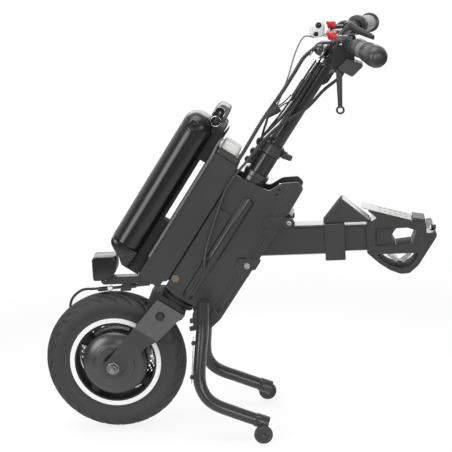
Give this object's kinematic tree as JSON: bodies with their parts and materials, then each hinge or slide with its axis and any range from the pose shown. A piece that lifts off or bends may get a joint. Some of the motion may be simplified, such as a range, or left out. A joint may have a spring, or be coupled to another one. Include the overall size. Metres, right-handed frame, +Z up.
{
  "type": "handbike",
  "caption": "Electric handbike with a hub motor wheel, leaning battery, telescopic handlebar column, folding kickstand and a docking cradle that couples it to a wheelchair.",
  "frame": {"origin": "centre of the footprint on the floor, in the handbike's middle plane", "axes": "+X rearward, from the wheel towards the docking cradle and the rider; +Y to the rider's right; +Z up"},
  "size_m": [0.8818, 0.5876, 0.9134],
  "materials": {
    "alloy": "black coated alloy",
    "black_fabric": "woven black strap",
    "black_plastic": "matt black moulding",
    "black_rubber": "matt black rubber",
    "bright_steel": "bright steel",
    "chrome": "chrome",
    "gloss_black": "gloss black moulding",
    "pale_grey_plastic": "pale grey moulding",
    "tyre_rubber": "matt black tyre"
  },
  "bodies": {
    "frame": {"side_plate_left": "alloy", "side_plate_right": "alloy", "front_cover_left": "alloy", "front_cover_right": "alloy", "head_tube": "alloy", "beam_housing": "alloy", "beam_top_block": "pale_grey_plastic", "battery_rail": "black_plastic", "lock_housing": "black_plastic", "headlight_bar": "alloy", "beam_conduit": "black_plastic", "spiral_hose": "black_plastic", "stand_cable_lower": "black_plastic", "motor_cable": "black_plastic"},
    "steering": {"axle": "bright_steel", "fork_blade_left": "alloy", "fork_blade_right": "alloy", "fork_crown": "alloy", "brake_caliper": "alloy", "steerer_tube": "alloy", "clamp_collar": "alloy"},
    "quick_release": {"quick_release_lever": "alloy"},
    "wheel": {"tyre": "tyre_rubber", "rim": "alloy", "hub_motor": "alloy", "brake_rotor": "bright_steel"},
    "handlebars": {"column_tube": "alloy", "handlebar": "alloy", "grip_left": "black_rubber", "brake_perch_left": "alloy", "brake_perch_right": "alloy", "display": "pale_grey_plastic", "bell": "chrome", "stand_release": "black_plastic", "pull_strap": "black_fabric", "display_cable": "black_plastic", "column_hoses": "black_plastic", "stand_cable_upper": "black_plastic"},
    "throttle": {"throttle_grip": "black_rubber"},
    "left_brake": {"brake_lever_left": "alloy"},
    "right_brake": {"brake_lever_right": "alloy"},
    "stand": {"stand_shaft": "bright_steel", "stand_leg_left": "alloy", "stand_leg_right": "alloy"},
    "left_foot": {"foot_wheel_left": "black_rubber"},
    "right_foot": {"foot_wheel_right": "black_rubber"},
    "arm": {"arm_tube": "alloy", "clamp_sleeve": "alloy", "ramp_wedge": "alloy"},
    "latch": {"latch_pin": "bright_steel"},
    "cradle": {"cradle_body": "alloy", "guide_strip": "bright_steel", "stop_block": "black_plastic"},
    "hook": {"docking_hook": "bright_steel"},
    "jaw": {"docking_jaw": "bright_steel"},
    "lock": {"lock_lever": "chrome"},
    "battery": {"battery_case": "gloss_black", "battery_base": "gloss_black"},
    "lamp": {"headlight": "black_plastic"}
  },
  "joints": [
    {"name": "steer", "type": "hinge", "parent": "frame", "child": "steering", "pos_m": [-0.04805, 0, 0.42318], "axis": [0.5621, 0, 0.8271], "range_deg": [-40, 40], "deforming": ["spiral_hose", "stand_cable_lower", "motor_cable"]},
    {"name": "wheel_spin", "type": "hinge", "parent": "steering", "child": "wheel", "pos_m": [-0.282, 0, 0.159], "axis": [0, 1, 0], "continuous": true},
    {"name": "column_height", "type": "slide", "parent": "steering", "child": "handlebars", "axis": [0.5621, 0, 0.8271], "range_m": [0, 0.08], "deforming": ["spiral_hose", "display_cable", "column_hoses", "stand_cable_upper"]},
    {"name": "quick_release_turn", "type": "hinge", "parent": "steering", "child": "quick_release", "pos_m": [0.11769, 0, 0.61281], "axis": [0, 1, 0], "range_deg": [0, 60]},
    {"name": "throttle_twist", "type": "hinge", "parent": "handlebars", "child": "throttle", "pos_m": [0.28, 0.175, 0.866], "axis": [0.3258, 0.943, -0.0686], "range_deg": [0, 50], "stiffness_Nm_per_rad": 0.4},
    {"name": "right_brake_pull", "type": "hinge", "parent": "handlebars", "child": "right_brake", "pos_m": [0.238, 0.1403, 0.869], "axis": [0, 0, -1], "range_deg": [0, 3], "stiffness_Nm_per_rad": 4},
    {"name": "left_brake_pull", "type": "hinge", "parent": "handlebars", "child": "left_brake", "pos_m": [0.247, -0.138, 0.89], "axis": [0.8251, 0.565, 0], "range_deg": [0, 3], "stiffness_Nm_per_rad": 4},
    {"name": "stand_fold", "type": "hinge", "parent": "frame", "child": "stand", "pos_m": [-0.0732, 0, 0.2795], "axis": [0, -1, 0], "range_deg": [0, 60]},
    {"name": "left_foot_spin", "type": "hinge", "parent": "stand", "child": "left_foot", "pos_m": [0.049, -0.136, 0.0205], "axis": [0, 1, 0], "continuous": true},
    {"name": "right_foot_spin", "type": "hinge", "parent": "stand", "child": "right_foot", "pos_m": [0.049, 0.136, 0.0205], "axis": [0, 1, 0], "continuous": true},
    {"name": "arm_fold", "type": "hinge", "parent": "frame", "child": "arm", "pos_m": [0.122, 0, 0.471], "axis": [0, -1, 0], "range_deg": [0, 40]},
    {"name": "latch_draw", "type": "slide", "parent": "frame", "child": "latch", "axis": [0, -1, 0], "range_m": [0, 0.025], "stiffness_N_per_m": 200},
    {"name": "cradle_reach", "type": "slide", "parent": "arm", "child": "cradle", "axis": [1, 0, 0], "range_m": [0, 0.06]},
    {"name": "hook_release", "type": "hinge", "parent": "cradle", "child": "hook", "pos_m": [0.4, 0, 0.404], "axis": [0, 1, 0], "range_deg": [0, 25], "stiffness_Nm_per_rad": 0.6, "springref_deg": -8.59},
    {"name": "jaw_rock", "type": "hinge", "parent": "cradle", "child": "jaw", "pos_m": [0.3605, 0, 0.3655], "axis": [0, 1, 0], "range_deg": [-6, 6]},
    {"name": "lock_turn", "type": "hinge", "parent": "frame", "child": "lock", "pos_m": [-0.02115, -0.025, 0.70294], "axis": [0, 1, 0], "range_deg": [0, 60]},
    {"name": "battery_tilt", "type": "hinge", "parent": "frame", "child": "battery", "pos_m": [-0.2471, 0, 0.38471], "axis": [0, -1, 0], "range_deg": [0, 15]},
    {"name": "lamp_tilt", "type": "hinge", "parent": "frame", "child": "lamp", "pos_m": [-0.295, 0, 0.3455], "axis": [0, 1, 0], "range_deg": [-10, 10]}
  ]
}
